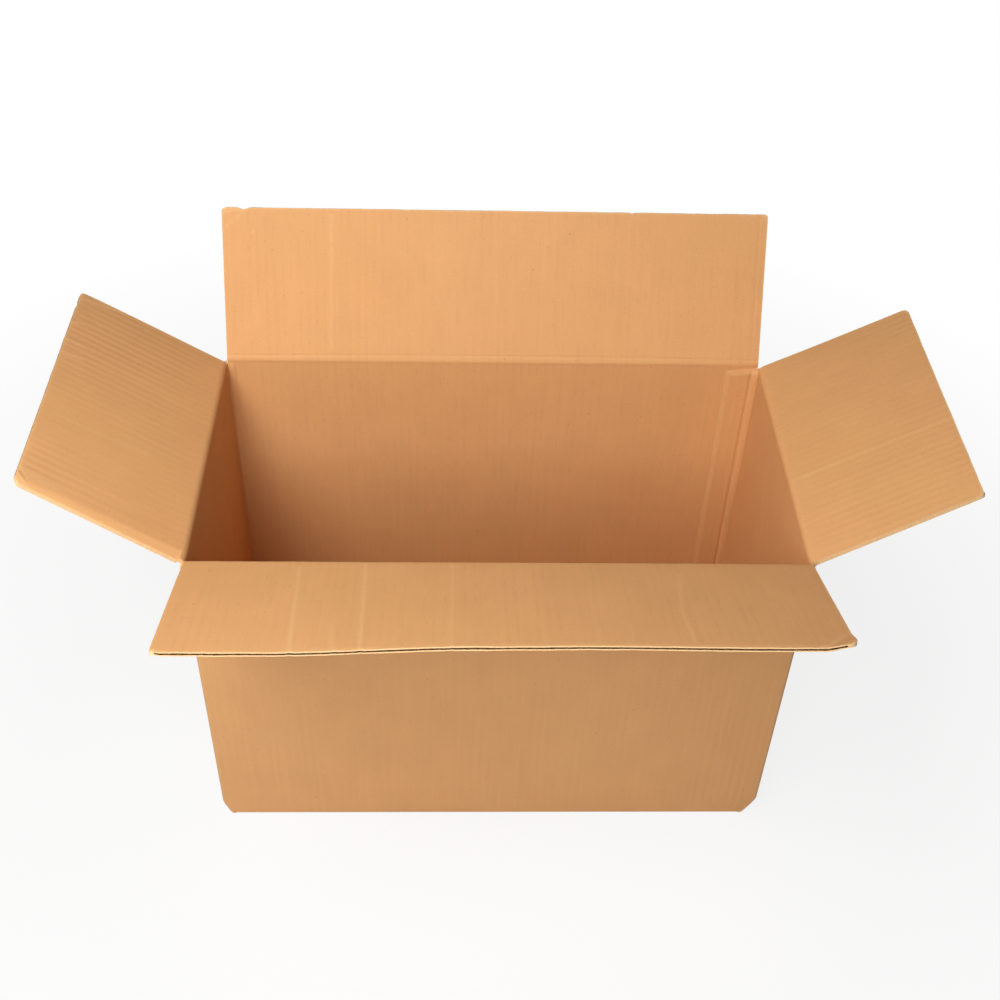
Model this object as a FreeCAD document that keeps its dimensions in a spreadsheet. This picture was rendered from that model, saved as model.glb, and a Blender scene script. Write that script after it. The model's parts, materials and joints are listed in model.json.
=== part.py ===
import FreeCAD, Part
import os
import Sketcher

# An open slotted carton of single-wall corrugated board, set up and standing on its taped bottom.
# X runs along the long walls, Y from the front wall to the back wall, Z up.
# The origin is the centre of the underside. All lengths are in millimetres, angles in degrees.

doc = FreeCAD.newDocument("open_carton")

# Driving sizes
SIZES = {
    # Outside of the set-up carton, and the height of the long flaps' creases
    "carton_length": 520,
    "carton_width": 282,
    "crease_height": 345,
    # The board, with its two liners and the fluted medium between them
    "board_thickness": 4,
    "liner_thickness": 0.5,
    "medium_thickness": 0.5,
    "flute_pitch": 7.8,
    "flute_slant": 2,
    "flute_margin": 3,
    "crushed_crease": 10,
    # Play between layers of board, and along the creases of the flaps
    "layer_gap": 0.3,
    "crease_clearance": 0.3,
    # Folds and the slots between the flaps
    "fold_radius": 3.5,
    "bottom_fold_radius": 4,
    "slot_play": 0.5,
    "side_flap_play": 3,
    "side_flap_taper": 5.5,
    "meeting_gap": 1.5,
    # Tab that closes the loop of the four walls, glued inside the back wall
    "tab_width": 31,
    "tab_taper": 8,
    # Lean of each open flap, outwards from upright
    "front_lean": 69.9,
    "back_lean": 27.5,
    "left_lean": 55.8,
    "right_lean": 59.6,
    # The left end of the front flap droops further, and the twist runs out between these two places
    "front_droop": 3.4,
    "droop_start": 90,
    "droop_end": 190,
    # Wear: rounded corners of the top flaps, and slanting corners where the long walls meet the floor
    "corner_wear": 2.5,
    "bottom_wear_height": 19.5,
    "bottom_wear_width": 7,
    # Sealing tape under the bottom seam
    "tape_width": 48,
    "tape_thickness": 0.2,
    "tape_turn_up": 55,
    "tape_turn_radius": 4,
}
NEARLY_ZERO = 1e-6

sheet = doc.addObject("Spreadsheet::Sheet", "Sizes")
for row, (alias, value) in enumerate(SIZES.items(), start=1):
    sheet.set(f"A{row}", alias)
    sheet.set(f"B{row}", str(value))
    sheet.setAlias(f"B{row}", alias)
doc.recompute()

# Places that several pieces share, worked out from the driving sizes
board = "Sizes.board_thickness"
half_length = "Sizes.carton_length / 2"
half_width = "Sizes.carton_width / 2"
inner_length = f"{half_length} - {board}"
inner_width = f"{half_width} - {board}"
layer = f"({board} + Sizes.layer_gap)"
long_crease = "Sizes.crease_height"
side_crease = f"{long_crease} - {layer}"
long_rim = f"{long_crease} - Sizes.crease_clearance"
side_rim = f"{side_crease} - Sizes.crease_clearance"
hinge_offset = "Sizes.crease_clearance / 2"
long_flap_half = f"{inner_length} - Sizes.slot_play"
side_flap_half = f"{inner_width} - Sizes.side_flap_play"
long_flap_depth = f"({half_width} - Sizes.meeting_gap / 2)"
side_flap_depth = f"({long_flap_depth} + {layer})"
underside = "Sizes.tape_thickness"
inner_underside = f"{underside} + {layer}"
fold_top = f"{inner_underside} + {board} + Sizes.bottom_fold_radius"
tab_edge = f"{inner_length} - Sizes.tab_width"
tab_top = f"{side_rim} - {board} - Sizes.crease_clearance"


def negative(expression):
    return f"-({expression})"


def origin_plane(body, role):
    return next(item for item in body.Origin.OriginFeatures if item.Role == role)


def add_outlines(body, name, role, outlines, height="0"):
    """A sketch of closed outlines on an origin plane, with each corner placed by two bound sizes."""
    sketch = body.newObject("Sketcher::SketchObject", name)
    sketch.AttachmentSupport = [(origin_plane(body, role), "")]
    sketch.MapMode = "FlatFace"
    sketch.setExpression("AttachmentOffset.Base.z", height)
    for corners in outlines:
        first = sketch.GeometryCount
        count = len(corners)
        for index in range(count):
            start = FreeCAD.Vector(index, index % 2, 0)
            end = FreeCAD.Vector((index + 1) % count, (index + 1) % count % 2, 0)
            sketch.addGeometry(Part.LineSegment(start, end))
        for index, corner in enumerate(corners):
            line = first + index
            sketch.addConstraint(Sketcher.Constraint("Coincident", line, 2, first + (index + 1) % count, 1))
            for kind, expression in zip(("DistanceX", "DistanceY"), corner):
                constraint = sketch.addConstraint(Sketcher.Constraint(kind, line, 1, 1.0))
                label = f"{kind[-1].lower()}_{line}"
                sketch.renameConstraint(constraint, label)
                sketch.setExpression(f"Constraints.{label}", expression)
    doc.recompute()
    return sketch


def add_feature(body, kind, name, sketch, length, side="Symmetric"):
    """A pad or a pocket of the sketch, whose bound length is shared by both sides if symmetric."""
    feature = body.newObject(f"PartDesign::{kind}", name)
    feature.Profile = sketch
    feature.SideType = side
    feature.setExpression("Length", length)
    sketch.Visibility = False
    doc.recompute()
    return feature


def add_fillet(body, name, radius, chosen):
    """Rounds the edges of the body's last feature that the function chosen picks."""
    base = body.Tip
    edges = [f"Edge{n}" for n, edge in enumerate(base.Shape.Edges, start=1) if chosen(edge)]
    fillet = body.newObject("PartDesign::Fillet", name)
    fillet.Base = (base, edges)
    fillet.setExpression("Radius", radius)
    doc.recompute()
    return fillet


def is_along(edge, axis):
    """Is this a straight edge along the axis, given as 0, 1 or 2?"""
    span = edge.Vertexes[-1].Point - edge.Vertexes[0].Point
    return len(edge.Vertexes) == 2 and abs(abs(span[axis]) - edge.Length) < NEARLY_ZERO


def new_body(name):
    body = doc.addObject("PartDesign::Body", name)
    body.Label = name
    return body


def size(alias):
    return float(sheet.get(alias))


# The carton: four walls, the glued tab and the four closed bottom flaps are one folded sheet
def make_carton():
    body = new_body("carton_body")
    raw_edge = long_flap_half

    # Walls as a loop of board, with the tab inside the raw edge of the back wall
    outside = [
        (raw_edge, half_width),
        (negative(half_length), half_width),
        (negative(half_length), negative(half_width)),
        (half_length, negative(half_width)),
        (half_length, inner_width),
        (raw_edge, inner_width),
    ]
    tab_face = f"{inner_width} - {board}"
    inside = [
        (negative(inner_length), inner_width),
        (negative(inner_length), negative(inner_width)),
        (inner_length, negative(inner_width)),
        (inner_length, tab_face),
        (tab_edge, tab_face),
        (tab_edge, inner_width),
    ]
    loop = add_outlines(body, "wall_loop", "XY_Plane", [outside, inside], fold_top)
    add_feature(body, "Pad", "walls", loop, f"{side_rim} - ({fold_top})", "One side")

    def is_outer_fold(edge):
        point = edge.Vertexes[0].Point
        at_end = abs(abs(point.x) - size("carton_length") / 2) < NEARLY_ZERO
        return is_along(edge, 2) and at_end

    add_fillet(body, "vertical_folds", "Sizes.fold_radius", is_outer_fold)

    # Ends of the tab, cut at a slant and clear of the flap layers
    slant_low = f"{tab_top} - Sizes.tab_taper"
    slant_high = f"{fold_top} + Sizes.tab_taper"
    slants = [
        [(inner_length, tab_top), (inner_length, side_rim), (tab_edge, side_rim), (tab_edge, slant_low)],
        [(inner_length, fold_top), (tab_edge, slant_high), (tab_edge, fold_top)],
    ]
    middle_of_tab = negative(f"{inner_width} - {board} / 2")
    cuts = add_outlines(body, "tab_slants", "XZ_Plane", slants, middle_of_tab)
    add_feature(body, "Pocket", "tab_ends", cuts, board)

    # Rims of the long walls, and the mitres that leave room for the flaps' creases
    rims = [
        [
            (f"{sign}({half_width})", side_rim),
            (f"{sign}({half_width})", long_rim),
            (f"{sign}({inner_width})", f"{long_rim} - {board}"),
            (f"{sign}({inner_width})", side_rim),
        ]
        for sign in ("", "-")
    ]
    rim_outline = add_outlines(body, "long_rim_profile", "YZ_Plane", rims)
    add_feature(body, "Pad", "long_rims", rim_outline, f"2 * ({long_flap_half})")
    mitres = [
        [
            (f"{sign}({half_length})", side_rim),
            (f"{sign}({inner_length})", side_rim),
            (f"{sign}({inner_length})", f"{side_rim} - {board}"),
        ]
        for sign in ("", "-")
    ]
    mitre_outline = add_outlines(body, "side_mitre_profile", "XZ_Plane", mitres)
    add_feature(body, "Pocket", "side_mitres", mitre_outline, f"2 * ({inner_width})")

    # Bottom flaps: the long pair outside with a seam in the middle, the side pair inside on top
    def bottom_flaps(outer, inner, reach, low):
        return [
            [
                (f"{sign}({outer})", fold_top),
                (f"{sign}({outer})", low),
                (f"{sign}({outer} - {reach})", low),
                (f"{sign}({outer} - {reach})", f"{low} + {board}"),
                (f"{sign}({inner})", f"{low} + {board}"),
                (f"{sign}({inner})", fold_top),
            ]
            for sign in ("", "-")
        ]

    long_pair = bottom_flaps(half_width, inner_width, long_flap_depth, underside)
    long_outline = add_outlines(body, "long_bottom_profile", "YZ_Plane", long_pair)
    add_feature(body, "Pad", "long_bottom_flaps", long_outline, f"2 * ({long_flap_half})")
    side_pair = bottom_flaps(half_length, inner_length, side_flap_depth, inner_underside)
    side_outline = add_outlines(body, "side_bottom_profile", "XZ_Plane", side_pair)
    add_feature(body, "Pad", "side_bottom_flaps", side_outline, f"2 * ({side_flap_half})")

    def is_bottom_fold(edge):
        point = edge.Vertexes[0].Point
        long_fold = is_along(edge, 0) and abs(point.z - size("tape_thickness")) < NEARLY_ZERO
        long_fold = long_fold and abs(abs(point.y) - size("carton_width") / 2) < NEARLY_ZERO
        side_height = size("tape_thickness") + size("board_thickness") + size("layer_gap")
        side_fold = is_along(edge, 1) and abs(point.z - side_height) < NEARLY_ZERO
        side_fold = side_fold and abs(abs(point.x) - size("carton_length") / 2) < NEARLY_ZERO
        return long_fold or side_fold

    add_fillet(body, "bottom_folds", "Sizes.bottom_fold_radius", is_bottom_fold)

    # Worn bottom corners of the front and back walls
    corners = [
        [
            (f"{sign}({half_length})", f"{underside} + Sizes.bottom_wear_height"),
            (f"{sign}({half_length})", underside),
            (f"{sign}({long_flap_half} - Sizes.bottom_wear_width)", underside),
        ]
        for sign in ("", "-")
    ]
    corner_depth = f"{half_width} - ({side_flap_half})"
    for name, height in (("front", half_width), ("back", negative(side_flap_half))):
        worn = add_outlines(body, f"{name}_worn_outline", "XZ_Plane", corners, height)
        add_feature(body, "Pocket", f"{name}_worn_corners", worn, corner_depth, "One side")
    return body


def place_flap(flap, lean, turn, crease):
    """Leans the upright flap outwards about its hinge line and turns it to its own wall."""
    flap.setExpression("Placement.Rotation.Yaw", turn)
    flap.setExpression("Placement.Rotation.Roll", lean)
    for axis, expression in zip("xyz", crease):
        flap.setExpression(f"Placement.Base.{axis}", expression)
    doc.recompute()


# A top flap, modelled upright on its hinge line and then leaned outwards about it
def make_flap(name, half_span, taper, depth, lean, turn, crease):
    body = new_body(name)
    outer_face = hinge_offset
    inner_face = f"{hinge_offset} + {board}"
    free_half = f"({half_span} - {taper})"
    panel = [
        (half_span, "Sizes.crease_clearance"),
        (free_half, depth),
        (negative(free_half), depth),
        (negative(half_span), "Sizes.crease_clearance"),
    ]
    middle = negative(f"{hinge_offset} + {board} / 2")
    panel_outline = add_outlines(body, f"{name}_outline", "XZ_Plane", [panel], middle)
    add_feature(body, "Pad", f"{name}_panel", panel_outline, board)
    mitre = [
        (outer_face, "Sizes.crease_clearance"),
        (inner_face, "Sizes.crease_clearance"),
        (inner_face, f"Sizes.crease_clearance + {board}"),
    ]
    root_outline = add_outlines(body, f"{name}_root", "YZ_Plane", [mitre])
    add_feature(body, "Pocket", f"{name}_mitre", root_outline, f"2 * ({half_span})")
    reach = max(vertex.Z for vertex in body.Shape.Vertexes)

    def is_free_corner(edge):
        return is_along(edge, 1) and abs(edge.Vertexes[0].Z - reach) < NEARLY_ZERO

    add_fillet(body, f"{name}_worn_corners", "Sizes.corner_wear", is_free_corner)

    # Two channels for each flute, one on each side of the medium, open at the free edge
    flutes = f"floor(2 * ({free_half} - Sizes.flute_margin) / Sizes.flute_pitch)"
    start = f"-{flutes} * Sizes.flute_pitch / 2"
    wide = "(Sizes.flute_pitch / 2 + Sizes.flute_slant - Sizes.medium_thickness) / 2"
    narrow = "(Sizes.flute_pitch / 2 - Sizes.flute_slant - Sizes.medium_thickness) / 2"
    low_face = f"{outer_face} + Sizes.liner_thickness"
    high_face = f"{inner_face} - Sizes.liner_thickness"

    def channel(centre, half_low, half_high):
        return [
            (f"{centre} - {half_low}", low_face),
            (f"{centre} + {half_low}", low_face),
            (f"{centre} + {half_high}", high_face),
            (f"{centre} - {half_high}", high_face),
        ]

    pair = [
        channel(f"{start} + Sizes.flute_pitch / 4", wide, narrow),
        channel(f"{start} + Sizes.flute_pitch * 3 / 4", narrow, wide),
    ]
    ends = add_outlines(body, f"{name}_flute_ends", "XY_Plane", pair, depth)
    open_length = f"{depth} - Sizes.crushed_crease"
    channels = add_feature(body, "Pocket", f"{name}_flute", ends, open_length, "One side")
    pattern = body.newObject("PartDesign::LinearPattern", f"{name}_flutes")
    pattern.Originals = [channels]
    pattern.Direction = (ends, ["H_Axis"])
    pattern.Mode = "Spacing"
    pattern.setExpression("Offset", "Sizes.flute_pitch")
    pattern.setExpression("Occurrences", flutes)
    body.Tip = pattern

    place_flap(body, lean, turn, crease)
    return body


# The front flap: its left end droops, so its panel is a ruled loft between leaned profiles
def make_front_flap():
    panel = new_body("front_flap_panel")
    outer_face = hinge_offset
    inner_face = f"{hinge_offset} + {board}"
    left_end = negative(long_flap_half)
    worn_depth = f"({long_flap_depth} - Sizes.corner_wear)"
    stations = [
        (left_end, "Sizes.front_droop", worn_depth),
        (f"{left_end} + Sizes.corner_wear", "Sizes.front_droop", long_flap_depth),
        (f"{left_end} + Sizes.droop_start", "Sizes.front_droop", long_flap_depth),
        (f"{left_end} + Sizes.droop_end", "0", long_flap_depth),
        (f"{long_flap_half} - Sizes.corner_wear", "0", long_flap_depth),
        (long_flap_half, "0", worn_depth),
    ]
    sections = []
    for number, (place, droop, depth) in enumerate(stations, start=1):
        profile = [
            (outer_face, "Sizes.crease_clearance"),
            (outer_face, depth),
            (inner_face, depth),
            (inner_face, f"Sizes.crease_clearance + {board}"),
        ]
        cosine = f"cos({droop} * 1 deg)"
        sine = f"sin({droop} * 1 deg)"
        leaned = [
            (f"({across}) * {cosine} - ({up}) * {sine}", f"({across}) * {sine} + ({up}) * {cosine}")
            for across, up in profile
        ]
        sections.append(add_outlines(panel, f"front_section_{number}", "YZ_Plane", [leaned], place))
    loft = panel.newObject("PartDesign::AdditiveLoft", "front_panel")
    loft.Profile = sections[0]
    loft.Sections = sections[1:]
    loft.Ruled = True
    doc.recompute()

    flutes = doc.addObject("Part::Feature", "front_flutes")
    flutes.Shape = Part.makeCompound(front_channels())
    flap = doc.addObject("Part::Cut", "front_flap")
    flap.Label = "front_flap"
    flap.Base = panel
    flap.Tool = flutes
    place_flap(flap, "Sizes.front_lean", "0", ("0", front_hinge, long_crease))
    return flap


def front_channels():
    """The flutes of the front flap, each leaned as the panel is at its place along the crease."""
    pitch = size("flute_pitch")
    half_span = size("carton_length") / 2 - size("board_thickness") - size("slot_play")
    depth = size("carton_width") / 2 - size("meeting_gap") / 2
    count = int(2 * (half_span - size("flute_margin")) // pitch)
    wide = (pitch / 2 + size("flute_slant") - size("medium_thickness")) / 2
    narrow = (pitch / 2 - size("flute_slant") - size("medium_thickness")) / 2
    low_face = size("crease_clearance") / 2 + size("liner_thickness")
    high_face = size("crease_clearance") / 2 + size("board_thickness") - size("liner_thickness")
    beyond_edge = size("board_thickness")
    channels = []
    for half_pitch in range(2 * count):
        centre = (half_pitch + 0.5 - count) * pitch / 2
        half_low, half_high = (wide, narrow) if half_pitch % 2 == 0 else (narrow, wide)
        run_out = (centre + half_span - size("droop_start")) / (size("droop_end") - size("droop_start"))
        lean = size("front_droop") * (1 - min(1, max(0, run_out)))
        end = Part.makePolygon(
            [
                FreeCAD.Vector(centre - half_low, low_face, size("crushed_crease")),
                FreeCAD.Vector(centre + half_low, low_face, size("crushed_crease")),
                FreeCAD.Vector(centre + half_high, high_face, size("crushed_crease")),
                FreeCAD.Vector(centre - half_high, high_face, size("crushed_crease")),
                FreeCAD.Vector(centre - half_low, low_face, size("crushed_crease")),
            ]
        )
        run = FreeCAD.Vector(0, 0, depth - size("crushed_crease") + beyond_edge)
        channel = Part.Face(end).extrude(run)
        channel.rotate(FreeCAD.Vector(0, 0, 0), FreeCAD.Vector(1, 0, 0), lean)
        channels.append(channel)
    return channels


# Sealing tape under the seam of the long bottom flaps, turned up on both end walls
def make_tape():
    body = new_body("bottom_tape")
    outer_end = f"{half_length} + Sizes.tape_thickness"
    strip = [
        (negative(outer_end), "Sizes.tape_turn_up"),
        (negative(outer_end), "0"),
        (outer_end, "0"),
        (outer_end, "Sizes.tape_turn_up"),
        (half_length, "Sizes.tape_turn_up"),
        (half_length, underside),
        (negative(half_length), underside),
        (negative(half_length), "Sizes.tape_turn_up"),
    ]
    outline = add_outlines(body, "tape_profile", "XZ_Plane", [strip])
    add_feature(body, "Pad", "tape_strip", outline, "Sizes.tape_width")

    def is_corner(edge, height, reach):
        point = edge.Vertexes[0].Point
        at_height = abs(point.z - height) < NEARLY_ZERO
        return is_along(edge, 1) and at_height and abs(abs(point.x) - reach) < NEARLY_ZERO

    end = size("carton_length") / 2
    film = size("tape_thickness")
    add_fillet(body, "inner_turns", "Sizes.tape_turn_radius", lambda edge: is_corner(edge, film, end))
    outer_turn = "Sizes.tape_turn_radius + Sizes.tape_thickness"
    add_fillet(body, "outer_turns", outer_turn, lambda edge: is_corner(edge, 0, end + film))
    return body


front_hinge = negative(f"{half_width} + {hinge_offset}")
back_hinge = f"{half_width} + {hinge_offset}"
left_hinge = negative(f"{half_length} + {hinge_offset}")
right_hinge = f"{half_length} + {hinge_offset}"
long_flap = (long_flap_half, "0", long_flap_depth)
side_flap = (side_flap_half, "Sizes.side_flap_taper", side_flap_depth)
pieces = [
    make_carton(),
    make_front_flap(),
    make_flap("back_flap", *long_flap, "Sizes.back_lean", "180", ("0", back_hinge, long_crease)),
    make_flap("left_flap", *side_flap, "Sizes.left_lean", "-90", (left_hinge, "0", side_crease)),
    make_flap("right_flap", *side_flap, "Sizes.right_lean", "90", (right_hinge, "0", side_crease)),
    make_tape(),
]

doc.recompute()
for item in doc.Objects:
    if "Invalid" in item.State or "Error" in item.State:
        raise RuntimeError(f"{item.Label} failed to build: {item.State}")
for piece in pieces:
    if piece.Shape.isNull() or not piece.Shape.isValid() or len(piece.Shape.Solids) != 1:
        raise RuntimeError(f"{piece.Label} isn't one valid solid")

os.makedirs("parts", exist_ok=True)
for piece in pieces:
    piece.Shape.exportStep(f"parts/{piece.Label}.step")
    print(piece.Label, len(piece.Shape.Solids), round(piece.Shape.Volume), piece.Shape.BoundBox)
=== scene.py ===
import json
import math

import bmesh
import bpy
from mathutils import Matrix, Vector, noise


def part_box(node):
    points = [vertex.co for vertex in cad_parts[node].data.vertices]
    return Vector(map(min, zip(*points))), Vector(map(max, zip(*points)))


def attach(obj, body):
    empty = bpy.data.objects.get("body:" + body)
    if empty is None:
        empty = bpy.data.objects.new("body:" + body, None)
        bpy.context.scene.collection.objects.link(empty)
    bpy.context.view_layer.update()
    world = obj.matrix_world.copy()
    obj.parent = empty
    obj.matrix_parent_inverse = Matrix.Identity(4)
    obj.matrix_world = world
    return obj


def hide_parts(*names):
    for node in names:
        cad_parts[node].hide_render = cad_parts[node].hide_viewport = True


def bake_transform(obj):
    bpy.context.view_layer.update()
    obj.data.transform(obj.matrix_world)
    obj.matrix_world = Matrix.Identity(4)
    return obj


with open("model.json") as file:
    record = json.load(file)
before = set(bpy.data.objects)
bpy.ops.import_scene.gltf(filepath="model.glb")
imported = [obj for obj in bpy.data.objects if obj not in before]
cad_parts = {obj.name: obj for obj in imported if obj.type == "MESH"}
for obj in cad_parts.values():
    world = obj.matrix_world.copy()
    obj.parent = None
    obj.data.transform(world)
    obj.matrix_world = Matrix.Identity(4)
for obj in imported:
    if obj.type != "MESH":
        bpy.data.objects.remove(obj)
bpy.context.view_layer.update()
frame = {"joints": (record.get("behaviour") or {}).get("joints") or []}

# An open slotted carton of kraft corrugated board, folded from flat sheets of board.
# Lengths are in metres and angles in radians, unless a name says otherwise.
MM = 0.001
NEARLY_ZERO = 1e-6

# Board: two liners on a waved medium. The cut across the flutes is squeezed, so its mouth is narrow.
BOARD = 4 * MM
LINER = 0.55 * MM
EDGE_LINER = 1.15 * MM
MEDIUM = 0.4 * MM
FLUTE_PITCH = 7.8 * MM
FLUTE_DEPTH = 12 * MM
FLUTE_STEPS = (2, 3, 3, 4)
MEDIUM_ROWS = (0.3, 2.5, 5, 8, 12)
MEDIUM_PER_FLUTE = 8
WASHBOARD = 0.035 * MM

# Folds
TOP_BEND = 2.6 * MM
BOTTOM_RADIUS = 4 * MM
CORNER_RADIUS = 3.5 * MM
TAB_RADIUS = 3 * MM
CORNER_BEAD = 0.8 * MM
BEAD_WIDTH = 7 * MM

# Tab glued inside the back wall
TAB_EDGE = 225 * MM
TAB_TAPER = 4 * MM
TAB_PRESSED = 2.6 * MM
TAB_RIM = 1.1 * MM

# Places taken from the frame
CREASES = {joint["child"]: joint for joint in frame["joints"]}
carton_low, carton_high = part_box("carton_body")
tape_low, tape_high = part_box("bottom_tape")
HALF_LENGTH = carton_high.x
HALF_WIDTH = carton_high.y
UNDERSIDE = carton_low.z
INNER_LENGTH = HALF_LENGTH - BOARD
INNER_WIDTH = HALF_WIDTH - BOARD
LONG_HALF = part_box("front_flap")[1].x
SIDE_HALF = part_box("left_flap")[1].y
SIDE_RIM = 340.4 * MM
LAYER = BOARD + 0.3 * MM
MEETING_GAP = 0.75 * MM
SIDE_TAPER = 5.5 * MM
LONG_REACH = HALF_WIDTH - MEETING_GAP
SIDE_REACH = LONG_REACH + LAYER

# Lower corners, crushed in: height and width of the worn part at the left and at the right
WORN_HEIGHT = {-1: 19.5 * MM, 1: 25 * MM}
WORN_WIDTH = {-1: 7 * MM, 1: 12 * MM}

# Rounded strip between two walls, along the outer face
CORNER_LEAD = HALF_LENGTH - CORNER_RADIUS - LONG_HALF
CORNER_ARC = CORNER_RADIUS * math.pi / 2
CORNER_RUN = CORNER_LEAD + CORNER_ARC + HALF_WIDTH - CORNER_RADIUS - SIDE_HALF

# Middle of each wall on the blank, which lies flat in the order back, left, front, right
WALL_STEP = LONG_HALF + CORNER_RUN + SIDE_HALF
BLANK = {"back": -2 * WALL_STEP, "left": -WALL_STEP, "front": 0, "right": WALL_STEP}
OUTER_FACE_SHIFT = 3.0


def smooth(value, start, end):
    """Rises smoothly from 0 at start to 1 at end."""
    share = min(1, max(0, (value - start) / (end - start)))
    return share * share * (3 - 2 * share)


def bell(distance, width):
    return math.exp(-((distance / width) ** 2))


def spaced(start, end, step):
    """Places from start up to but not including end, about a step apart."""
    count = max(1, round((end - start) / step))
    return [start + (end - start) * index / count for index in range(count)]


def wander(place, scale, seed):
    """Slow unevenness between -1 and 1 along one line."""
    return noise.noise(Vector((place * scale, seed * 7.3, 0)))


def beyond(point, start, end):
    """How far a point lies to the left of the line from start to end."""
    line = (end - start).normalized()
    offset = point - start
    return line.x * offset.y - line.y * offset.x


def from_segment(point, start, end):
    line = end - start
    share = min(1, max(0, (point - start).dot(line) / line.length_squared))
    return (point - start - line * share).length


# Flat sheets of board: X across the flutes, Y along them, Z from the outer face to the inner face
def flat_sheet(across, along, thickness):
    sheet = bmesh.new()
    columns, rows = len(across) - 1, len(along) - 1
    bmesh.ops.create_grid(sheet, x_segments=columns, y_segments=rows, size=0.5)
    for vert in sheet.verts:
        column = round((vert.co.x + 0.5) * columns)
        row = round((vert.co.y + 0.5) * rows)
        vert.co = (across[column], along[row], 0)
    raised = bmesh.ops.extrude_face_region(sheet, geom=sheet.faces[:])["geom"]
    upper = [item for item in raised if isinstance(item, bmesh.types.BMVert)]
    bmesh.ops.translate(sheet, verts=upper, vec=(0, 0, thickness))
    bmesh.ops.recalc_face_normals(sheet, faces=sheet.faces[:])
    return sheet


def hollow_edge(sheet, place):
    """Opens the cut edge at this place along the sheet, with a narrow mouth and the full hollow behind it."""
    rim = [face for face in sheet.faces if all(abs(vert.co.y - place) < NEARLY_ZERO for vert in face.verts)]
    bmesh.ops.inset_region(sheet, faces=rim, thickness=EDGE_LINER, use_even_offset=True)
    way_in = -math.copysign(MM, place)
    for step in FLUTE_STEPS:
        bmesh.ops.inset_region(sheet, faces=rim, thickness=0, depth=0)
        inside = list({vert for face in rim for vert in face.verts})
        bmesh.ops.translate(sheet, verts=inside, vec=(0, way_in * step, 0))
    for vert in sheet.verts:
        behind_mouth = MM < abs(vert.co.y - place) < FLUTE_DEPTH + MM
        if behind_mouth and NEARLY_ZERO < vert.co.z < BOARD - NEARLY_ZERO:
            vert.co.z = LINER if vert.co.z < BOARD / 2 else BOARD - LINER


def fluted_medium(half_span, edge, inward, seed):
    """The waved paper between the liners, at one free edge of a sheet."""
    count = int(2 * half_span / FLUTE_PITCH * MEDIUM_PER_FLUTE)
    across = [half_span * (2 * index / count - 1) for index in range(count + 1)]
    places = [edge + inward * depth * MM for depth in MEDIUM_ROWS]
    medium = flat_sheet(across, sorted(places), MEDIUM)
    for vert in medium.verts:
        place = vert.co.x + 1.2 * MM * wander(vert.co.x, 30, seed)
        deep = smooth(abs(vert.co.y - edge), 0, 2.5 * MM)
        liner = EDGE_LINER + deep * (LINER - EDGE_LINER)
        swing = BOARD / 2 - liner - MEDIUM / 2
        wave = swing * math.sin(2 * math.pi * place / FLUTE_PITCH)
        vert.co.z += BOARD / 2 - MEDIUM / 2 + wave
    return medium


def layer_of(face, edges):
    """Which paper a face of a sheet is: 0 a liner, 1 a cut, 2 the inside of the flutes, which takes the flute
    finish with painted shade.
    """
    heights = [vert.co.z for vert in face.verts]
    if max(heights) < NEARLY_ZERO or min(heights) > BOARD - NEARLY_ZERO:
        return 0
    on_edge = any(all(abs(vert.co.y - edge) < NEARLY_ZERO for vert in face.verts) for edge in edges)
    inside = any(NEARLY_ZERO < height < BOARD - NEARLY_ZERO for height in heights)
    return 2 if inside and not on_edge else 1


def fold_sheets(name, sheets, place, wear, blank=0, edges=()):
    """Folds flat sheets into one piece. Its pattern runs on from piece to piece of the flat blank."""
    mesh = bpy.data.meshes.new(name)
    whole = bmesh.new()
    for number, sheet in enumerate(sheets):
        pattern = sheet.loops.layers.uv.new("blank")
        worn_paper = sheet.verts.layers.float.new("wear")
        for face in sheet.faces:
            face.smooth = True
            # The waved medium and the inside of the flutes take the flute finish: the medium's own kraft brown,
            # painted far darker as the shade of the hollows.
            face.material_index = layer_of(face, edges) if number == 0 else 2
            shift = OUTER_FACE_SHIFT if face.normal.z < -0.5 else 0
            for loop in face.loops:
                flat = loop.vert.co
                loop[pattern].uv = (blank + flat.x + shift, flat.y)
        for vert in sheet.verts:
            vert[worn_paper] = wear(vert.co)
            vert.co = crushed_in(place(vert.co))
        bmesh.ops.recalc_face_normals(sheet, faces=sheet.faces[:])
        sheet.to_mesh(mesh)
        sheet.free()
        whole.from_mesh(mesh)
    whole.to_mesh(mesh)
    whole.free()
    for material in (kraft_liner, cut_board, flute_paper_painted_shade):
        mesh.materials.append(material)
    mesh.set_sharp_from_angle(angle=math.radians(40))
    piece = bpy.data.objects.new(name, mesh)
    bpy.context.scene.collection.objects.link(piece)
    return piece


def crushed_in(point):
    """Pulls in the lower ends of the carton's corners."""
    side = 1 if point.x > 0 else -1
    low = 1 - (point.z - UNDERSIDE) / WORN_HEIGHT[side]
    if low <= 0:
        return point
    beside = smooth(abs(point.y), SIDE_HALF - 8 * MM, SIDE_HALF + 2 * MM)
    outer = smooth(abs(point.x), HALF_LENGTH - 30 * MM, HALF_LENGTH - 2 * MM)
    shift = WORN_WIDTH[side] * min(1, low) ** 1.2 * beside * outer
    return Vector((point.x - side * shift, point.y, point.z))


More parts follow.
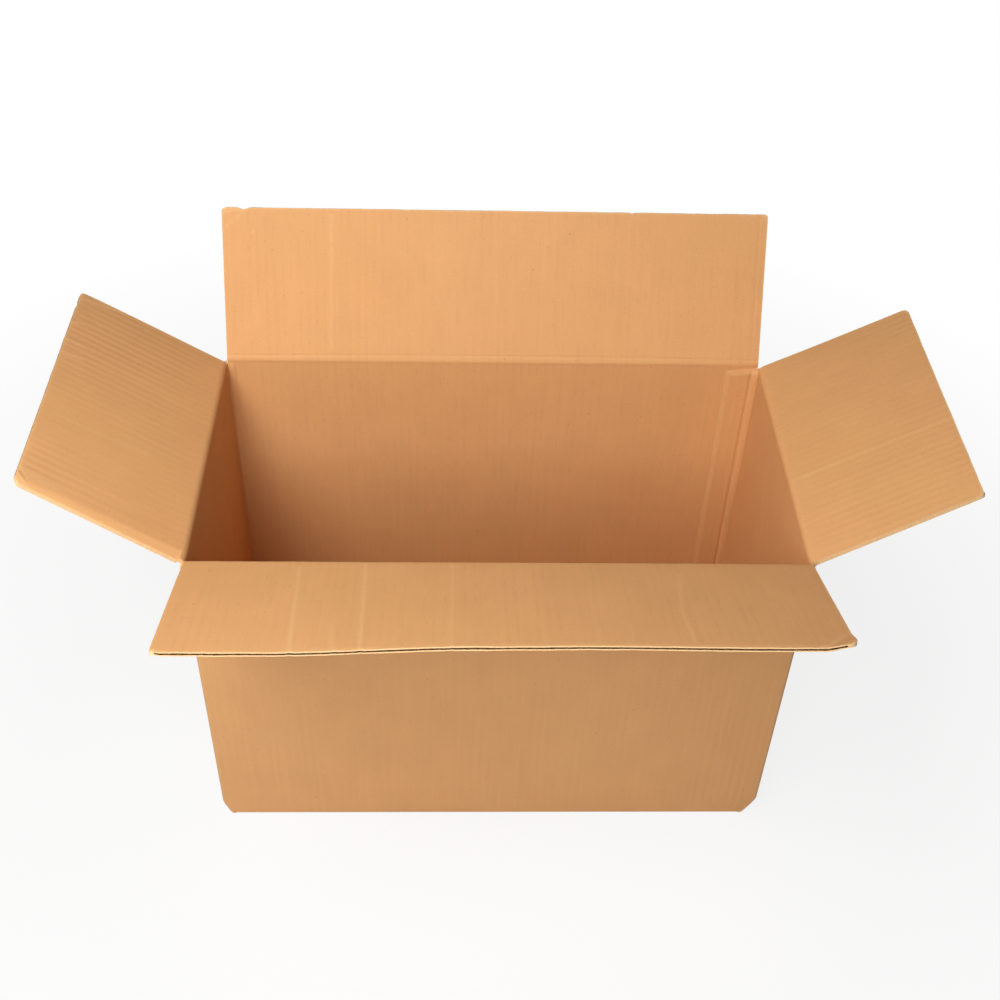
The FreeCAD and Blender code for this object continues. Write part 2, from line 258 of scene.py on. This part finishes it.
class Panel:
    """One wall of the carton with its top and bottom flaps, as one sheet folded at two creases.

    Places on it are across, along up from the top crease, and height from the outer face."""

    outward = Vector((0, -1, 0))
    half_span = LONG_HALF
    wall_face = HALF_WIDTH
    reach = LONG_REACH
    taper = 0
    low = UNDERSIDE
    # Marks of use, in millimetres across and along: dents as lines with a width and a height, corners bent
    # over lines by degrees, nicks in the free edge, and the radii of the free corners
    dents = ()
    bends = ()
    nicks = ()
    corner_radii = {-1: 2.5, 1: 2.5}
    crease_bead = 0.2 * MM
    crease_groove = 0.1 * MM
    bead_ends = {-1: 0.5, 1: 0.5}
    slack = 1.2 * MM

    def __init__(self, side, seed):
        crease = CREASES[side + "_flap"]
        self.side = side
        self.seed = seed
        self.flap = side + "_flap"
        self.across = Vector((0, 0, 1)).cross(self.outward)
        self.crease = Vector(crease["pos_m"])
        self.lean = math.radians(-crease["range_deg"][0] - 90)
        self.depth = self.reach
        self.wall_drop = self.crease.z - self.low - BOTTOM_RADIUS
        self.fold_length = BOTTOM_RADIUS * math.pi / 2
        self.bottom_end = -(self.wall_drop + self.fold_length + self.reach - BOTTOM_RADIUS)
        self.dents = [(Vector(start) * MM, Vector(end) * MM, width * MM, height * MM)
                      for start, end, width, height in self.dents]
        self.bends = [(Vector(start) * MM, Vector(end) * MM, math.radians(angle))
                      for start, end, angle in self.bends]

    def droop(self, across):
        return 0

    def groove_place(self, across):
        return 2.6 * MM

    def half_at(self, along, side):
        """Half the panel's width at this place along it, with the free corner worn round."""
        if along <= 0:
            return self.half_span
        half = self.half_span - self.taper * along / self.depth
        radius = self.corner_radii[side] * MM
        past = min(radius, max(0, along - self.depth + radius))
        return half - radius + math.sqrt(radius * radius - past * past)

    def outer_face(self, across, along):
        """Place of the outer face beside the crease, outward and up, and the turn of the sheet there."""
        drop = -along - self.wall_drop
        if drop > self.fold_length:
            return -BOTTOM_RADIUS - (drop - self.fold_length), -self.wall_drop - BOTTOM_RADIUS, math.pi / 2
        if drop > 0:
            turn = drop / BOTTOM_RADIUS
            out = -BOTTOM_RADIUS * (1 - math.cos(turn))
            return out, -self.wall_drop - BOTTOM_RADIUS * math.sin(turn), turn
        if along <= -TOP_BEND:
            return 0, along, 0
        lean = self.lean + self.droop(across)
        gap = abs(self.crease.dot(self.outward)) - self.wall_face
        reach = max(along, TOP_BEND)
        flap_out = gap - gap * math.cos(lean) + reach * math.sin(lean)
        flap_up = gap * math.sin(lean) + reach * math.cos(lean)
        if along >= TOP_BEND:
            return flap_out, flap_up, lean
        share = (along + TOP_BEND) / (2 * TOP_BEND)
        out = share * share * flap_out
        up = (1 - share) ** 2 * -TOP_BEND + share * share * flap_up
        return out, up, lean * smooth(share, 0, 1)

    def place(self, flat):
        """Where a point of the flat sheet lies once the panel is folded."""
        across, along, height = flat
        side = 1 if across > 0 else -1
        across *= self.half_at(along, side) / self.half_span
        out, up, turn = self.outer_face(across, along)
        height = self.shaped_height(across, along, height)
        out -= height * math.cos(turn)
        up += height * math.sin(turn)
        out, up = self.nicked(across, along, out, up, turn)
        point = self.across * across + self.outward * (self.wall_face + out)
        return point + Vector((0, 0, self.crease.z + up))

    def nicked(self, across, along, out, up, turn):
        """Wears the free edge back where it is nicked, and makes it a little uneven."""
        worn = 0.25 * MM * (1 + wander(across, 60, self.seed)) * bell(self.depth - along, 3 * MM)
        for place, depth, width in self.nicks:
            worn += depth * MM * bell(across - place * MM, width * MM) * bell(self.depth - along, 4 * MM)
        return out - worn * math.sin(turn), up - worn * math.cos(turn)

    def shaped_height(self, across, along, height):
        share = height / BOARD
        # The board is squeezed at its free edges and in its lower fold
        squeeze = 0.12 * (1 + wander(across, 90, self.seed + 5)) * bell(self.depth - along, 2.5 * MM)
        squeeze += 0.3 * bell(along + self.wall_drop + self.fold_length / 2, 3 * MM)
        height += squeeze * (BOARD / 2 - height)
        # Beads that the creasing leaves on the inner face
        uneven = 1 + 0.4 * wander(across, 25, self.seed + 9)
        bead = self.crease_bead * uneven * bell(along + 0.6 * MM, 1.7 * MM)
        bead -= self.crease_groove * uneven * bell(along - self.groove_place(across), 0.8 * MM)
        bead += self.corner_bead(across, along)
        ripple = WASHBOARD * math.sin(2 * math.pi * across / FLUTE_PITCH)
        ripple *= smooth(abs(along), 4 * MM, 12 * MM)
        height += share * bead + ripple * (1.4 * share - 0.4)
        return height + self.warp(across, along) + self.dented(across, along)

    def corner_bead(self, across, along):
        """Bulge of the inner face beside an upright fold, with a groove where it ends."""
        side = 1 if across > 0 else -1
        if along > 0 or along < -self.wall_drop or not self.bead_ends[side]:
            return 0
        inward = self.half_span - abs(across)
        width = self.bead_width(side, along)
        rim = smooth(-along, 1 * MM, 9 * MM)
        crown = 1 - smooth(inward, width * 0.55, width)
        groove = 0.45 * MM * bell(inward - width, 1.1 * MM)
        return rim * (CORNER_BEAD * crown - groove) * min(1, self.bead_ends[side] * 2)

    def bead_width(self, side, along):
        return BEAD_WIDTH * self.bead_ends[side]

    def warp(self, across, along):
        """Slow waves of a sheet that has been handled, still at the folds."""
        free = smooth(abs(along), 3 * MM, 60 * MM)
        if along < 0:
            free *= smooth(self.half_span - abs(across), 10 * MM, 60 * MM)
            free *= smooth(along + self.wall_drop, 0, 60 * MM)
        wave = noise.noise(Vector((across * 7, along * 5, self.seed * 3.7)))
        return self.slack * free * wave

    def dented(self, across, along):
        if along < TOP_BEND:
            return 0
        point = Vector((across, along))
        height = 0
        for start, end, width, ridge in self.dents:
            height += ridge * bell(from_segment(point, start, end), width)
        for start, end, angle in self.bends:
            past = max(0, beyond(point, start, end))
            soft = 3 * MM
            height -= math.tan(angle) * (past * past / (2 * soft) if past < soft else past - soft / 2)
        return height

    def wear(self, flat):
        """How much the paper is rubbed pale, from 0 to 1."""
        across, along, _ = flat
        side_edge = self.half_span - abs(across)
        if along < 0:
            low_fold = bell(along + self.wall_drop + self.fold_length / 2, 3 * MM)
            return 0.5 * low_fold + 0.15 * bell(along + 0.6 * MM, 1.5 * MM)
        point = Vector((across, along))
        rubbed = 0.9 * bell(self.depth - along, 0.9 * MM) + 0.5 * bell(side_edge, 0.8 * MM)
        rubbed += 0.7 * bell(Vector((side_edge, self.depth - along)).length, 5 * MM)
        rubbed += 0.15 * bell(along, 1.5 * MM)
        for start, end, width, ridge in self.dents:
            rubbed += min(0.4, ridge / MM) * bell(from_segment(point, start, end), width)
        for start, end, _ in self.bends:
            rubbed += 0.6 * bell(from_segment(point, start, end), 1.5 * MM)
        return min(1, max(0, rubbed))

    def build(self):
        across = spaced(-self.half_span, -self.half_span + 11 * MM, 0.9 * MM)
        across += spaced(-self.half_span + 11 * MM, self.half_span - 11 * MM, 1.6 * MM)
        across += spaced(self.half_span - 11 * MM, self.half_span, 0.9 * MM) + [self.half_span]
        fold_start = -self.wall_drop
        fold_end = fold_start - self.fold_length
        along = spaced(self.bottom_end, fold_end - 15 * MM, 24 * MM)
        along += spaced(fold_end - 15 * MM, fold_end, 3 * MM)
        along += spaced(fold_end, fold_start, 0.9 * MM)
        along += spaced(fold_start, fold_start + 30 * MM, 2.5 * MM)
        along += spaced(fold_start + 30 * MM, -14 * MM, 18 * MM)
        along += spaced(-14 * MM, -6 * MM, 3 * MM)
        along += spaced(-6 * MM, 6 * MM, 0.7 * MM)
        along += spaced(6 * MM, self.depth - 9 * MM, 4 * MM)
        along += spaced(self.depth - 9 * MM, self.depth, 1.2 * MM) + [self.depth]
        sheet = flat_sheet(across, along, BOARD)
        hollow_edge(sheet, self.depth)
        hollow_edge(sheet, self.bottom_end)
        inner_half = self.half_span - EDGE_LINER
        media = [
            fluted_medium(inner_half, self.depth, -1, self.seed),
            fluted_medium(inner_half, self.bottom_end, 1, self.seed + 2),
        ]
        edges = (self.depth, self.bottom_end)
        name = self.side + "_panel"
        piece = fold_sheets(name, [sheet, *media], self.place, self.wear, BLANK[self.side], edges)
        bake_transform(piece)
        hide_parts(self.flap, "carton_body")
        return piece


class FrontPanel(Panel):
    """Its top flap droops at the left end, has four soft cross folds, and curls up at the right corner."""

    dents = (
        ((-161, 11), (-155.4, 142), 1.9, 0.42),
        ((-108, 3), (-104.8, 142), 1.9, 0.42),
        ((-127.9, 103), (-124, 142), 2.2, 0.2),
        ((-38, 6), (-39.2, 142), 1.6, 0.22),
        ((142.8, 22), (135.7, 84), 2, 0.22),
        ((135.7, 84), (138.5, 132), 2, 0.25),
    )
    bends = (((231, 141), (256, 117), -16),)
    nicks = ((-252, 1.2, 2),)
    corner_radii = {-1: 2.5, 1: 7}
    crease_bead = 0.25 * MM

    def droop(self, across):
        lower = math.radians(2.3) * (1 - smooth(across, -168 * MM, -18 * MM))
        return math.radians(0.5) + lower


class BackPanel(Panel):
    outward = Vector((0, 1, 0))
    dents = (
        ((153.4, 134), (155.6, 8), 1.6, 0.25),
        ((255.7, 119), (229, 142), 1.3, 0.35),
        ((255, 134.6), (231.8, 140.4), 1.2, 0.3),
        ((-248, 5), (-248, 141), 1.3, -0.18),
        ((-192, 20), (-193, 120), 1.4, 0.05),
        ((-214, 30), (-213, 128), 1.4, 0.04),
    )
    nicks = ((235.6, 1.8, 4), (-127.7, 0.9, 1.5))
    corner_radii = {-1: 2.5, 1: 4}
    crease_bead = 0.3 * MM
    crease_groove = 0.4 * MM
    bead_ends = {-1: 0, 1: 1}
    slack = 0.3 * MM

    def groove_place(self, across):
        bow = (across / self.half_span) ** 2
        return (3.6 - 1.6 * bow) * MM

    def bead_width(self, side, along):
        high = smooth(-along, 300 * MM, 0)
        return BEAD_WIDTH * (0.35 + 0.75 * high)


class SidePanel(Panel):
    half_span = SIDE_HALF
    wall_face = HALF_LENGTH
    reach = SIDE_REACH
    taper = SIDE_TAPER
    low = UNDERSIDE + LAYER
    slack = 0.9 * MM


class LeftPanel(SidePanel):
    outward = Vector((-1, 0, 0))
    dents = (
        ((-83.2, 145), (-90.5, 133), 1.4, 0.3),
        ((-58.9, 143), (-58.9, 127), 1.4, 0.3),
        ((-40.3, 143), (-42.6, 125), 1.4, 0.3),
        ((37.5, 127), (34.5, 47), 1.8, 0.15),
        ((128, 133), (118, 144), 1.2, 0.4),
    )
    bends = (((-131.5, 105), (-123.8, 150), 16), ((121.5, 150), (122, 112), 16))
    nicks = ((128, 1.5, 3), (-112, 0.8, 3))
    corner_radii = {-1: 4, 1: 5}
    crease_bead = 0.05 * MM
    crease_groove = 0
    bead_ends = {-1: 0.45, 1: 0.45}


class RightPanel(SidePanel):
    outward = Vector((1, 0, 0))
    dents = (
        ((-32, 8), (-32, 146), 1.8, 0.25),
        ((118.9, 33), (117.5, 37), 1.2, -0.3),
    )
    corner_radii = {-1: 3, 1: 6}
    crease_bead = 0.15 * MM
    crease_groove = 0
    bead_ends = {-1: 0.45, 1: 0}


def build_corner(name, side_x, side_y, blank_start, blank_way):
    """Rounded strip between two walls, with the bulge of its upright fold on the inner face."""
    inner = Vector((side_x * INNER_LENGTH, side_y * INNER_WIDTH, 0))
    start = Vector((side_x * LONG_HALF, side_y * HALF_WIDTH, 0))
    centre = Vector((side_x * (HALF_LENGTH - CORNER_RADIUS), side_y * (HALF_WIDTH - CORNER_RADIUS), 0))
    inner_start = Vector((start.x, inner.y, 0))
    inner_end = Vector((inner.x, side_y * SIDE_HALF, 0))

    def place(flat):
        run, up, height = flat
        run = (run - blank_start) * blank_way
        turn = min(math.pi / 2, max(0, (run - CORNER_LEAD) / CORNER_RADIUS))
        normal = Vector((side_x * math.sin(turn), side_y * math.cos(turn), 0))
        outer = centre + CORNER_RADIUS * normal
        outer.x -= side_x * max(0, CORNER_LEAD - run)
        outer.y -= side_y * max(0, run - CORNER_LEAD - CORNER_ARC)
        share = run / CORNER_RUN
        curve = (1 - share) ** 2 * inner_start + 2 * share * (1 - share) * inner + share**2 * inner_end
        way_in = Vector((-side_x * share, -side_y * (1 - share), 0)).normalized()
        rim = smooth(SIDE_RIM - up, 0, 9 * MM)
        curve += way_in * CORNER_BEAD * rim
        tuck = BOTTOM_RADIUS - min(BOTTOM_RADIUS, up - UNDERSIDE)
        tucked = BOTTOM_RADIUS - math.sqrt(max(0, BOTTOM_RADIUS**2 - tuck**2))
        return outer.lerp(curve, height / BOARD) - normal * tucked + Vector((0, 0, up))

    def wear(flat):
        run = (flat.x - blank_start) * blank_way
        arc = bell(run - CORNER_LEAD - CORNER_ARC / 2, 3 * MM)
        return 0.25 * arc + 0.5 * bell(flat.y - UNDERSIDE, 9 * MM) + 0.4 * bell(SIDE_RIM - flat.y, 2 * MM)

    across = sorted(blank_start + blank_way * CORNER_RUN * index / 16 for index in range(17))
    bottom = UNDERSIDE + 0.3 * MM
    along = spaced(bottom, 5 * MM, 0.6 * MM) + spaced(5 * MM, 30 * MM, 4 * MM)
    along += spaced(30 * MM, SIDE_RIM - 10 * MM, 20 * MM)
    along += spaced(SIDE_RIM - 10 * MM, SIDE_RIM, 1.5 * MM) + [SIDE_RIM]
    piece = fold_sheets(name, [flat_sheet(across, along, BOARD)], place, wear)
    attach(piece, "carton")


def build_tab():
    """End of the right wall, folded in and glued to the back wall. It is pressed thin, and thinner at its rim."""
    arc = TAB_RADIUS * math.pi / 2
    end = arc + HALF_LENGTH - TAB_RADIUS - TAB_EDGE
    low = 14 * MM
    centre = Vector((HALF_LENGTH - TAB_RADIUS, INNER_WIDTH - TAB_RADIUS, 0))
    before = Vector((INNER_LENGTH, SIDE_HALF, 0))
    inner_corner = Vector((INNER_LENGTH, INNER_WIDTH - BOARD, 0))
    after = Vector((centre.x, inner_corner.y, 0))

    def thickness(run, up):
        """The bead beside the fold, a groove, and then the pressed board."""
        past = run - arc
        rim = smooth(SIDE_RIM - up, 1 * MM, 9 * MM)
        width = BEAD_WIDTH * (1.05 + 0.12 * wander(up, 12, 3))
        pressed = smooth(past, width * 0.7, width)
        thick = BOARD + CORNER_BEAD * rim + (TAB_PRESSED - BOARD - CORNER_BEAD * rim) * pressed
        thick -= 0.9 * MM * rim * bell(past - width, 1.3 * MM)
        from_rim = min(end - run, SIDE_RIM - up - tapered(run) + 0.2 * MM)
        return min(thick, TAB_RIM + (thick - TAB_RIM) * smooth(from_rim, 0, 5 * MM))

    def tapered(run):
        return TAB_TAPER * max(0, run - arc) / (end - arc)

    def place(flat):
        run, up, height = flat
        run -= BLANK["right"] + SIDE_HALF
        middle = (SIDE_RIM + low) / 2
        up = middle + (up - middle) * (SIDE_RIM - middle - tapered(run)) / (SIDE_RIM - middle)
        share = height / BOARD
        if run < arc:
            turn = run / TAB_RADIUS
            outer = centre + TAB_RADIUS * Vector((math.cos(turn), math.sin(turn), 0))
            part = run / arc
            curve = (1 - part) ** 2 * before + 2 * part * (1 - part) * inner_corner + part**2 * after
            bulge = (thickness(arc, up) - BOARD) * smooth(part, 0, 1)
            groove = 0.6 * MM * bell(part - 0.25, 0.25) * smooth(SIDE_RIM - up, 1 * MM, 6 * MM)
            curve += Vector((groove, -bulge, 0))
            return outer.lerp(curve, share) + Vector((0, 0, up))
        lift = 0.5 * MM * bell(end - run, 2 * MM)
        return Vector((centre.x - (run - arc), INNER_WIDTH - lift - share * thickness(run, up), up))

    def wear(flat):
        run = flat.x - BLANK["right"] - SIDE_HALF
        return 0.35 * bell(end - run, 1.5 * MM)

    across = spaced(0, arc, 0.5 * MM) + spaced(arc, arc + 12 * MM, 0.8 * MM)
    across += spaced(arc + 12 * MM, end - 6 * MM, 2 * MM) + spaced(end - 6 * MM, end, 0.8 * MM) + [end]
    start = BLANK["right"] + SIDE_HALF
    along = spaced(low, SIDE_RIM - 14 * MM, 6 * MM)
    along += spaced(SIDE_RIM - 14 * MM, SIDE_RIM, 1 * MM) + [SIDE_RIM]
    sheet = flat_sheet([start + place for place in across], along, BOARD)
    piece = fold_sheets("glued_tab", [sheet], place, wear)
    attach(piece, "carton")


def build_tape():
    """Paper tape along the middle of the bottom, turned up on both side walls, torn off on a toothed blade."""
    tape = tape_low.z + 0.2 * MM
    half_width = tape_high.y
    turn_up = tape_high.z
    radius = BOTTOM_RADIUS
    flat_half = tape_high.x - radius
    arc = radius * math.pi / 2
    teeth = 24
    end = flat_half + arc + turn_up - radius

    def place(flat):
        run, side, height = flat
        way = 1 if run > 0 else -1
        past = abs(run) - flat_half
        if past < 0:
            out, up, turn = abs(run), 0, 0
        elif past < arc:
            turn = past / radius
            out, up = flat_half + radius * math.sin(turn), radius * (1 - math.cos(turn))
        else:
            out, up, turn = flat_half + radius, radius + past - arc, math.pi / 2
        out -= height * math.sin(turn)
        up += height * math.cos(turn)
        return Vector((way * out, side, tape_low.z + up))

    across = spaced(-end, -flat_half, 3 * MM) + spaced(-flat_half, flat_half, 12 * MM)
    across += spaced(flat_half, end, 3 * MM) + [end]
    along = [half_width * (2 * index / (2 * teeth) - 1) for index in range(2 * teeth + 1)]
    sheet = flat_sheet(across, along, tape - tape_low.z)
    for vert in sheet.verts:
        if end - abs(vert.co.x) < NEARLY_ZERO:
            tooth = round((vert.co.y / half_width + 1) * teeth) % 2
            vert.co.x -= math.copysign(1.2 * MM * tooth, vert.co.x)
    mesh = bpy.data.meshes.new("sealing_tape")
    pattern = sheet.loops.layers.uv.new("blank")
    for face in sheet.faces:
        face.smooth = True
        for loop in face.loops:
            loop[pattern].uv = loop.vert.co.xy
    for vert in sheet.verts:
        vert.co = place(vert.co)
    bmesh.ops.recalc_face_normals(sheet, faces=sheet.faces[:])
    sheet.to_mesh(mesh)
    sheet.free()
    mesh.materials.append(tape_finish())
    mesh.set_sharp_from_angle(angle=math.radians(40))
    piece = bpy.data.objects.new("sealing_tape", mesh)
    bpy.context.scene.collection.objects.link(piece)
    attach(piece, "carton")
    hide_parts("bottom_tape")


# Finishes
class Finish:
    """A material whose patterns follow the flat blank."""

    def __init__(self, name, roughness):
        self.material = bpy.data.materials.new(name)
        self.material.use_nodes = True
        self.tree = self.material.node_tree
        self.shader = self.tree.nodes["Principled BSDF"]
        self.shader.inputs["Roughness"].default_value = roughness
        self.blank = self.node("ShaderNodeUVMap", uv_map="blank").outputs["UV"]

    def node(self, kind, inputs=None, **settings):
        node = self.tree.nodes.new(kind)
        for key, value in settings.items():
            setattr(node, key, value)
        for key, value in (inputs or {}).items():
            if isinstance(value, bpy.types.NodeSocket):
                self.tree.links.new(value, node.inputs[key])
            else:
                node.inputs[key].default_value = value
        return node

    def math(self, operation, first, second=0.0):
        return self.node("ShaderNodeMath", {0: first, 1: second}, operation=operation).outputs[0]

    def spots(self, scale_across, scale_along, detail=2, shift=0.0):
        """Noise stretched over the blank, around 0.5."""
        placed = self.node(
            "ShaderNodeMapping",
            {"Vector": self.blank, "Location": (shift, shift, 0), "Scale": (scale_across, scale_along, 1)},
        )
        inputs = {"Vector": placed.outputs[0], "Scale": 1, "Detail": detail}
        return self.node("ShaderNodeTexNoise", inputs).outputs["Fac"]

    def between(self, value, start, end, low, high):
        return self.node(
            "ShaderNodeMapRange",
            {"Value": value, "From Min": start, "From Max": end, "To Min": low, "To Max": high},
        ).outputs[0]

    def mix(self, share, first, second):
        return self.node(
            "ShaderNodeMix", {"Factor": share, "A": first, "B": second}, data_type="RGBA"
        ).outputs["Result"]

    def scaled(self, colour, factor):
        node = self.node("ShaderNodeVectorMath", {0: colour, "Scale": factor}, operation="SCALE")
        return node.outputs[0]

    def colour(self, value):
        self.tree.links.new(value, self.shader.inputs["Base Color"])

    def relief(self, height, distance, strength=1.0):
        bump = self.node("ShaderNodeBump", {"Height": height, "Strength": strength, "Distance": distance})
        self.tree.links.new(bump.outputs[0], self.shader.inputs["Normal"])


def rgba(red, green, blue):
    return (red, green, blue, 1)


def kraft_finish(name, golden, ruddy, pale, roughness, flute_lines):
    """Brown kraft paper: fibres, slow clouds of tone, faint lines over the flutes, specks, and pale worn places."""
    finish = Finish(name, roughness)
    clouds = finish.spots(9, 7, detail=3)
    base = finish.mix(finish.between(clouds, 0.3, 0.7, 0, 1), golden, ruddy)
    tone = finish.between(finish.spots(30, 22, detail=4, shift=5), 0.3, 0.7, 0.98, 1.02)
    streaks = finish.between(finish.spots(230, 9, detail=2, shift=2), 0.3, 0.7, 0.985, 1.015)
    fibres = finish.spots(900, 420, detail=4)
    grain = finish.between(fibres, 0.3, 0.7, 0.965, 1.035)
    across = finish.node("ShaderNodeSeparateXYZ", {0: finish.blank}).outputs["X"]
    wave = finish.math("SINE", finish.math("MULTIPLY", across, 2 * math.pi / FLUTE_PITCH))
    crest = finish.between(wave, 0.35, 1, 0, 1)
    broken = finish.between(finish.spots(90, 55, detail=2, shift=9), 0.45, 0.62, 0, 1)
    inner_face = finish.between(across, 0.9, 1.2, flute_lines, 0.25 * flute_lines)
    lines = finish.math("MULTIPLY", crest, broken)
    line_tone = finish.math("SUBTRACT", 1, finish.math("MULTIPLY", lines, inner_face))
    dark_specks = finish.between(finish.spots(420, 330, detail=1, shift=31), 0.73, 0.79, 1, 0.72)
    light_specks = finish.between(finish.spots(380, 300, detail=1, shift=57), 0.74, 0.8, 1, 1.16)
    factor = tone
    for part in (streaks, grain, line_tone, dark_specks, light_specks):
        factor = finish.math("MULTIPLY", factor, part)
    paper = finish.scaled(base, factor)
    wear = finish.node("ShaderNodeAttribute", attribute_name="wear").outputs["Fac"]
    ragged = finish.between(finish.spots(500, 500, detail=3, shift=71), 0.35, 0.65, 0.45, 1.2)
    share = finish.math("MULTIPLY", wear, ragged)
    clamped = finish.between(share, 0, 1, 0, 0.8)
    finish.colour(finish.mix(clamped, paper, pale))
    finish.shader.inputs["Specular IOR Level"].default_value = 0.3
    rough = finish.between(fibres, 0.3, 0.7, roughness - 0.08, roughness + 0.08)
    finish.tree.links.new(rough, finish.shader.inputs["Roughness"])
    finish.relief(finish.math("ADD", fibres, finish.math("MULTIPLY", wave, 0.25)), 0.12 * MM)
    return finish.material


# Medium and flute hollows: kraft paper coloured far darker than its own tone, as painted shade inside the flutes
# behind the cut edge.
def shaded_flute_finish():
    finish = Finish("flute paper with painted shade", 0.85)
    fibres = finish.spots(700, 300, detail=3)
    share = finish.between(fibres, 0.3, 0.7, 0, 1)
    # Painted shade: these dark browns stand for the shade in the hollows on top of the medium's own kraft tone.
    finish.colour(finish.mix(share, rgba(0.2, 0.09, 0.03), rgba(0.3, 0.15, 0.055)))
    finish.shader.inputs["Specular IOR Level"].default_value = 0.2
    finish.relief(fibres, 0.1 * MM)
    return finish.material


def tape_finish():
    """Brown gummed paper tape, smoother than the board, with threads of wood fibre and slight creases."""
    finish = Finish("sealing tape", 0.45)
    fibres = finish.spots(300, 1100, detail=4)
    clouds = finish.spots(16, 30, detail=3, shift=4)
    share = finish.between(clouds, 0.3, 0.7, 0, 1)
    base = finish.mix(share, rgba(0.40, 0.2, 0.075), rgba(0.46, 0.24, 0.095))
    finish.colour(finish.scaled(base, finish.between(fibres, 0.3, 0.7, 0.92, 1.08)))
    finish.tree.links.new(finish.between(clouds, 0.3, 0.7, 0.38, 0.55), finish.shader.inputs["Roughness"])
    creases = finish.spots(25, 140, detail=5, shift=12)
    finish.relief(finish.math("ADD", fibres, creases), 0.15 * MM)
    return finish.material


kraft_liner = kraft_finish(
    "kraft liner", rgba(0.70, 0.365, 0.148), rgba(0.69, 0.352, 0.14), rgba(0.84, 0.52, 0.25), 0.74, 0.035
)
cut_board = kraft_finish(
    "cut board", rgba(0.80, 0.48, 0.22), rgba(0.74, 0.42, 0.19), rgba(0.9, 0.62, 0.33), 0.85, 0.0
)
# Flute paper with painted shade of the hollows.
flute_paper_painted_shade = shaded_flute_finish()

for panel in (FrontPanel("front", 0), RightPanel("right", 1), BackPanel("back", 2), LeftPanel("left", 3)):
    panel.build()
build_corner("front_left_corner", -1, -1, BLANK["front"] - LONG_HALF, -1)
build_corner("front_right_corner", 1, -1, BLANK["front"] + LONG_HALF, 1)
build_corner("back_left_corner", -1, 1, BLANK["back"] + LONG_HALF, 1)
build_tab()
build_tape()


# Floor, light and camera
def seen_share(finish, share):
    """Part of what the camera, gloss and glass see that is plain white."""
    path = finish.node("ShaderNodeLightPath").outputs
    seen = finish.math("MAXIMUM", path["Is Camera Ray"], path["Is Glossy Ray"])
    return finish.math("MULTIPLY", finish.math("MAXIMUM", seen, path["Is Transmission Ray"]), share)


def build_floor():
    """Pale floor that takes the carton's shadow and turns plain white further off."""
    bpy.ops.mesh.primitive_plane_add(size=20)
    floor = bpy.context.object
    floor.name = "floor"
    finish = Finish("floor", 0.9)
    finish.shader.inputs["Base Color"].default_value = rgba(0.78, 0.78, 0.78)
    place = finish.node("ShaderNodeTexCoord").outputs["Object"]
    distance = finish.node("ShaderNodeVectorMath", {0: place}, operation="LENGTH").outputs["Value"]
    white_share = finish.between(distance, 0.45, 1.0, 0.84, 1)
    white = finish.node("ShaderNodeEmission", {"Color": rgba(1, 1, 1), "Strength": 1}).outputs[0]
    share = seen_share(finish, white_share)
    mixed = finish.node("ShaderNodeMixShader", {0: share, 1: finish.shader.outputs[0], 2: white})
    output = finish.tree.nodes["Material Output"]
    finish.tree.links.new(mixed.outputs[0], output.inputs["Surface"])
    floor.data.materials.append(finish.material)


def light_room(strength):
    """Even light from all round, seen as white."""
    world = bpy.data.worlds.new("studio")
    bpy.context.scene.world = world
    world.use_nodes = True
    tree = world.node_tree
    background = tree.nodes["Background"]
    background.inputs["Color"].default_value = rgba(1, 1, 1)
    path = tree.nodes.new("ShaderNodeLightPath")
    level = tree.nodes.new("ShaderNodeMapRange")
    level.inputs["To Min"].default_value = strength
    tree.links.new(path.outputs["Is Camera Ray"], level.inputs["Value"])
    tree.links.new(level.outputs[0], background.inputs["Strength"])


def add_lamp(name, place, width, power):
    """A square soft lamp turned to the middle of the carton."""
    data = bpy.data.lights.new(name, "AREA")
    data.shape = "SQUARE"
    data.size = width
    data.energy = power
    lamp = bpy.data.objects.new(name, data)
    bpy.context.scene.collection.objects.link(lamp)
    lamp.visible_camera = False
    lamp.location = place
    lamp.rotation_euler = (Vector((0, 0, 0.25)) - Vector(place)).to_track_quat("-Z", "Y").to_euler()


def place_camera():
    """Camera of the photograph: place, turns and frame, from its perspective."""
    yaw, pitch, roll = (math.radians(angle) for angle in (2.75, 42.87, 2.23))
    forward = Vector((math.sin(yaw) * math.cos(pitch), math.cos(yaw) * math.cos(pitch), -math.sin(pitch)))
    level = Vector((math.cos(yaw), -math.sin(yaw), 0))
    upright = level.cross(forward)
    right = math.cos(roll) * level + math.sin(roll) * upright
    up = right.cross(forward)
    data = bpy.data.cameras.new("camera")
    focal_share, centre_x, centre_y = 1.36515, 0.50096, 0.51398
    data.sensor_width = 36
    data.lens = focal_share * data.sensor_width
    data.shift_x = 0.5 - centre_x
    data.shift_y = centre_y - 0.5
    data.clip_start = 0.01
    camera = bpy.data.objects.new("camera", data)
    bpy.context.scene.collection.objects.link(camera)
    turned = Matrix((right, up, -forward)).transposed().to_4x4()
    camera.matrix_world = Matrix.Translation((-0.03909, -0.92407, 1.13138)) @ turned
    bpy.context.scene.camera = camera


build_floor()
light_room(0.06)
add_lamp("high lamp", (-0.498, -0.593, 1.356), 0.6, 13)
add_lamp("low lamp", (-0.192, -1.089, 1.024), 0.6, 9)
add_lamp("rear lamp", (1.59, 0.92, 1.79), 1.2, 1.5)
place_camera()
bpy.context.scene.view_settings.view_transform = "Standard"
